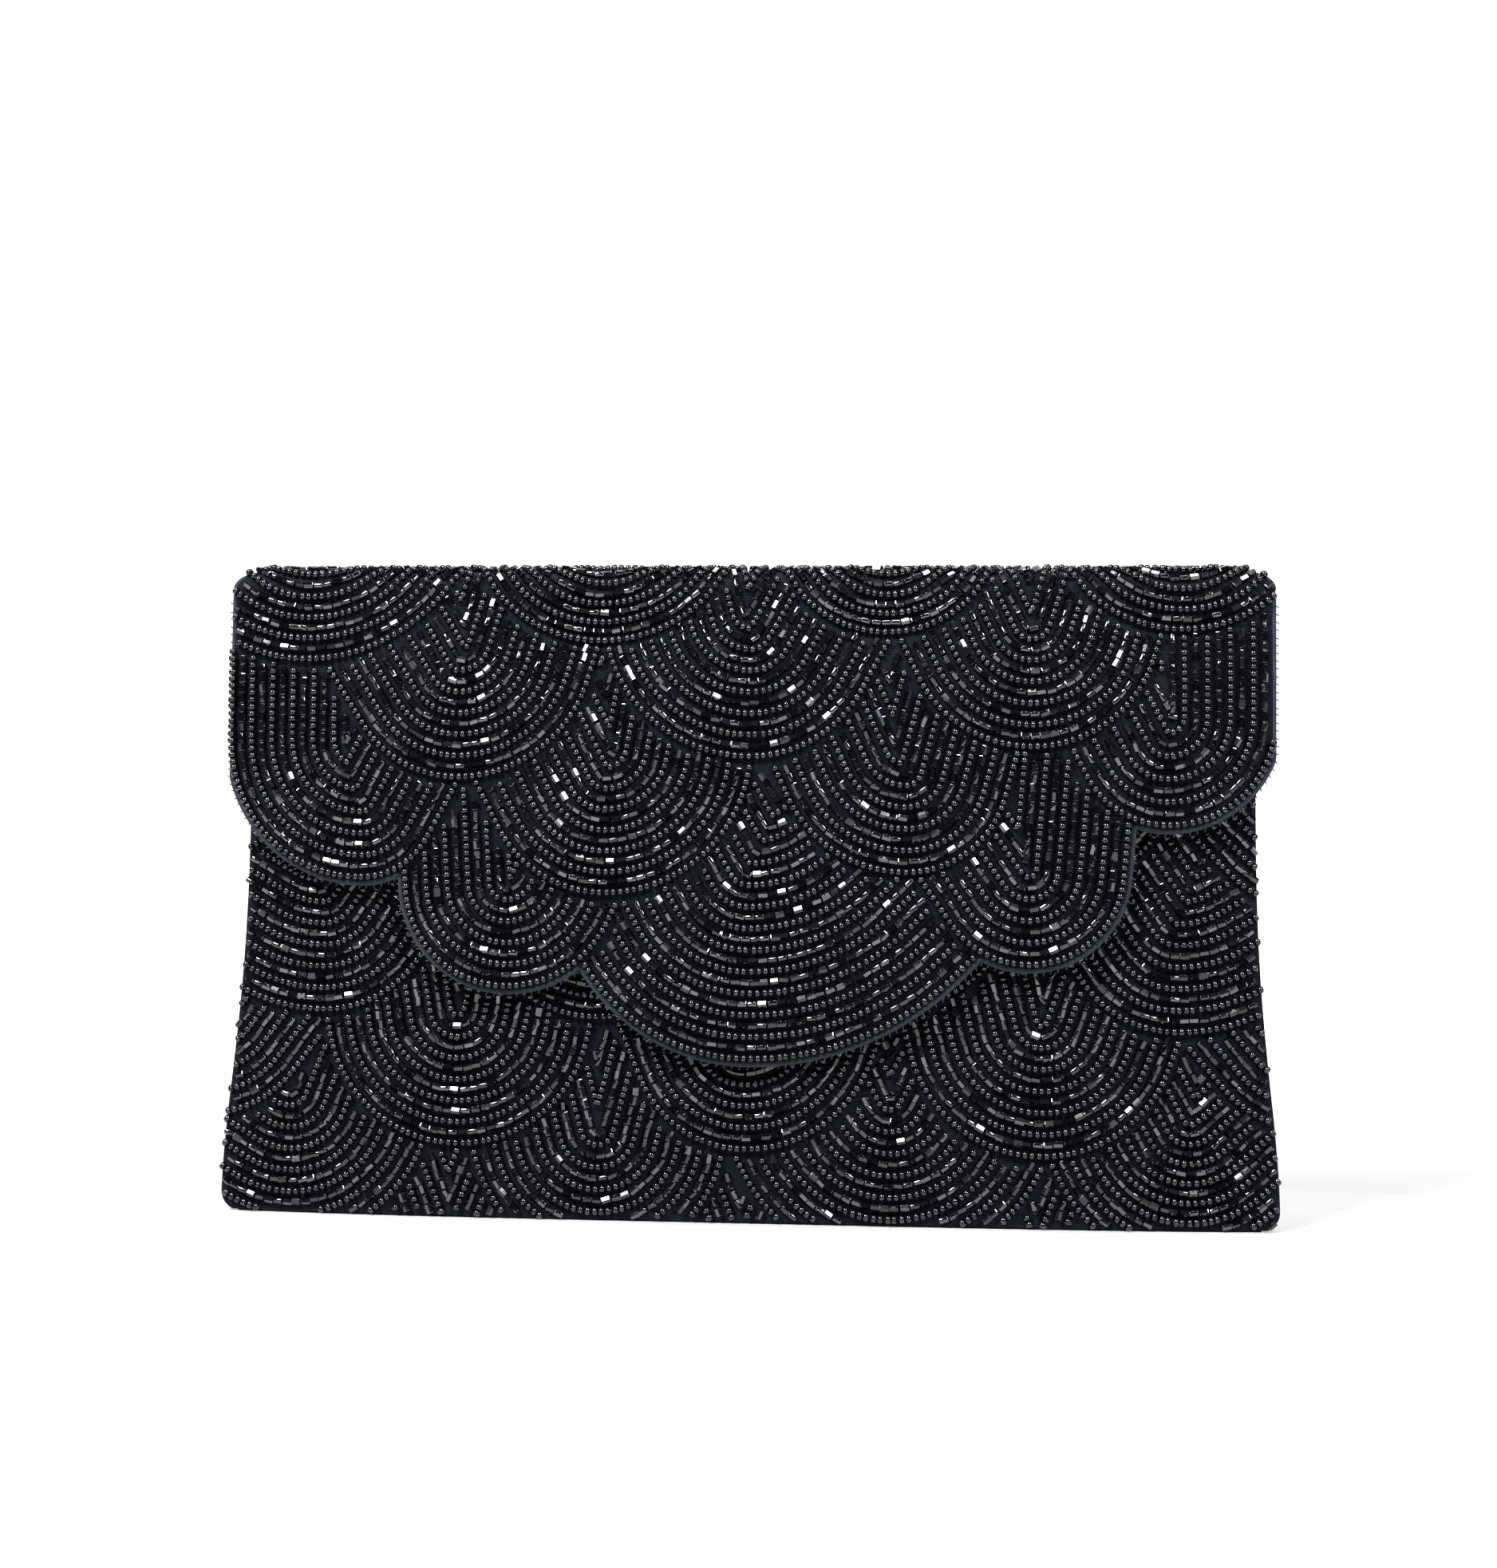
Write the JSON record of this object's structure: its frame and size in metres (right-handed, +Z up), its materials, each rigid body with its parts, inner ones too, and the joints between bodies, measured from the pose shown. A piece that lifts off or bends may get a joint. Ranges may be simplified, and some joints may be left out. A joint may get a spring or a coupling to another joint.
{
  "type": "beaded envelope clutch purse",
  "caption": "Flat envelope clutch purse covered in rows of jet beads, with a scalloped fold-over flap, rounded top fold, magnetic snap and lined pouch.",
  "frame": {"origin": "under the middle of the closed purse, on the surface its bottom seam stands on", "axes": "+X to the right seen from the front, along the longest side; +Y through the thin depth, towards the back; +Z up, from the bottom seam to the top fold"},
  "size_m": [0.2658, 0.0242, 0.1646],
  "materials": {
    "jet_beads": "polished jet glass seed and bugle beads",
    "ground_fabric": "charcoal ribbed ground cloth",
    "seam_fabric": "charcoal seam allowance, oversewn",
    "interlining": "stiff woven interlining",
    "lining_satin": "black satin",
    "binding_satin": "black satin bias binding",
    "snap_nickel": "plated nickel, satin",
    "snap_magnet": "sintered ferrite"
  },
  "bodies": {
    "pouch": {"back_beadwork": "jet_beads", "back_ground_fabric": "ground_fabric", "back_interlining": "interlining", "back_lining": "lining_satin", "front_beadwork": "jet_beads", "front_ground_fabric": "ground_fabric", "front_interlining": "interlining", "front_lining": "lining_satin", "mouth_binding": "binding_satin", "left_side_seam": "seam_fabric", "right_side_seam": "seam_fabric", "bottom_seam_strip": "seam_fabric", "slip_pocket": "lining_satin", "slip_pocket_binding": "binding_satin", "snap_socket": "snap_nickel", "snap_magnet": "snap_magnet", "snap_socket_washer": "snap_nickel"},
    "fold": {"fold_beadwork": "jet_beads", "fold_ground_fabric": "ground_fabric", "fold_lining": "lining_satin"},
    "flap": {"flap_beadwork": "jet_beads", "flap_ground_fabric": "ground_fabric", "flap_interlining": "interlining", "flap_lining": "lining_satin", "flap_edge_hem": "ground_fabric", "snap_stud": "snap_nickel", "snap_stud_washer": "snap_nickel"}
  },
  "joints": [
    {"name": "fold_hinge", "type": "hinge", "parent": "pouch", "child": "fold", "pos_m": [0, 0.00615, 0.16108], "axis": [-1, 0, 0], "range_deg": [0, 90]},
    {"name": "flap_hinge", "type": "hinge", "parent": "fold", "child": "flap", "pos_m": [0, -0.00201, 0.16108], "axis": [-1, 0, 0], "range_deg": [0, 90]}
  ],
  "couplings": [
    {"joint": "flap_hinge", "follows": "fold_hinge", "ratio": 1}
  ]
}
